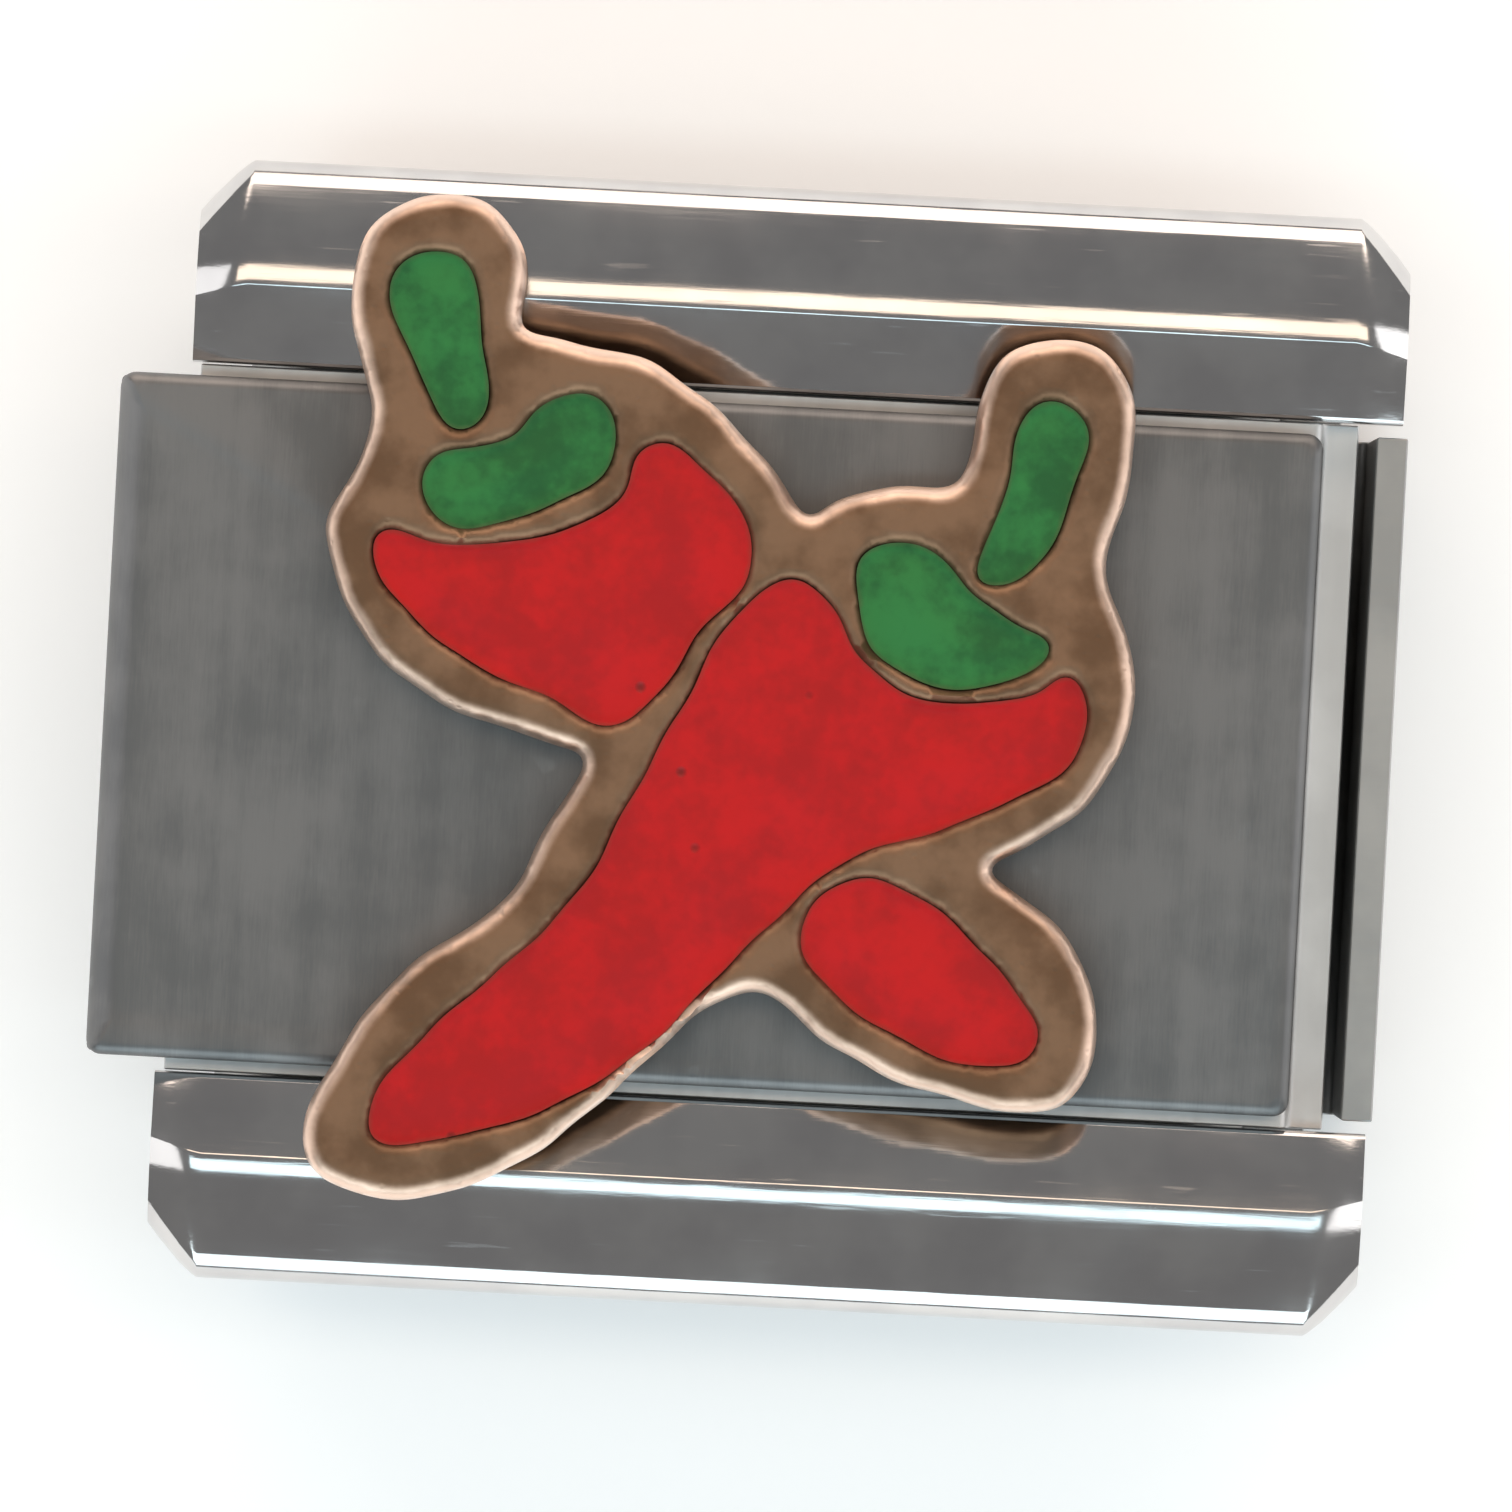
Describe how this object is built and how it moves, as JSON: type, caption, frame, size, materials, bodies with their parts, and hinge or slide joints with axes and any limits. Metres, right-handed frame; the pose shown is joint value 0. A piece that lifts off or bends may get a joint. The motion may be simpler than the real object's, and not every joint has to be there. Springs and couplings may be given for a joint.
{
  "type": "charm bracelet link",
  "caption": "Sprung stainless-steel bracelet link with a raised gold-edged enamel motif of two crossed red chilli peppers.",
  "frame": {"origin": "middle of the rails in plan, on the flat underside of the lower case", "axes": "+X along the bracelet towards the latch lip, +Y across the band, +Z out of the decorated face"},
  "size_m": [0.0103, 0.009, 0.004],
  "materials": {
    "brushed_steel": "satin, fine lengthwise grain",
    "polished_steel": "polished, light handling scratches",
    "case_steel": "plain bright sheet",
    "spring_steel": "cold-rolled spring strip",
    "solder": "dull solder",
    "rose_gold": "tumbled gold-toned plating, worn bright on its edges",
    "red_enamel": "soft enamel, satin",
    "green_enamel": "soft enamel, satin"
  },
  "bodies": {
    "upper_link": {"face_plate": "brushed_steel", "link_body": "polished_steel", "upper_case": "case_steel", "upper_spring": "spring_steel", "solder_pad_1": "solder", "solder_pad_2": "solder", "pepper_plate": "rose_gold", "red_left_body": "red_enamel", "red_right_body": "red_enamel", "red_left_tip": "red_enamel", "green_left_stem": "green_enamel", "green_left_calyx": "green_enamel", "green_right_stem": "green_enamel", "green_right_calyx": "green_enamel"},
    "brackets": {"bracket_top": "case_steel", "bracket_bottom": "case_steel"},
    "lower_link": {"lower_case": "case_steel", "lower_spring": "spring_steel"}
  },
  "joints": [
    {"name": "bracket_swing", "type": "hinge", "parent": "upper_link", "child": "brackets", "pos_m": [-0.003, 0, 0.00181], "axis": [0, -1, 0], "range_deg": [0, 70], "stiffness_Nm_per_rad": 0.00004, "springref_deg": -85.94, "deforming": ["upper_spring", "lower_spring"]},
    {"name": "case_level", "type": "hinge", "parent": "brackets", "child": "lower_link", "pos_m": [-0.00385, 0, 0.0006], "axis": [0, 1, 0], "range_deg": [0, 70]}
  ],
  "couplings": [
    {"joint": "case_level", "follows": "bracket_swing", "ratio": 1}
  ]
}
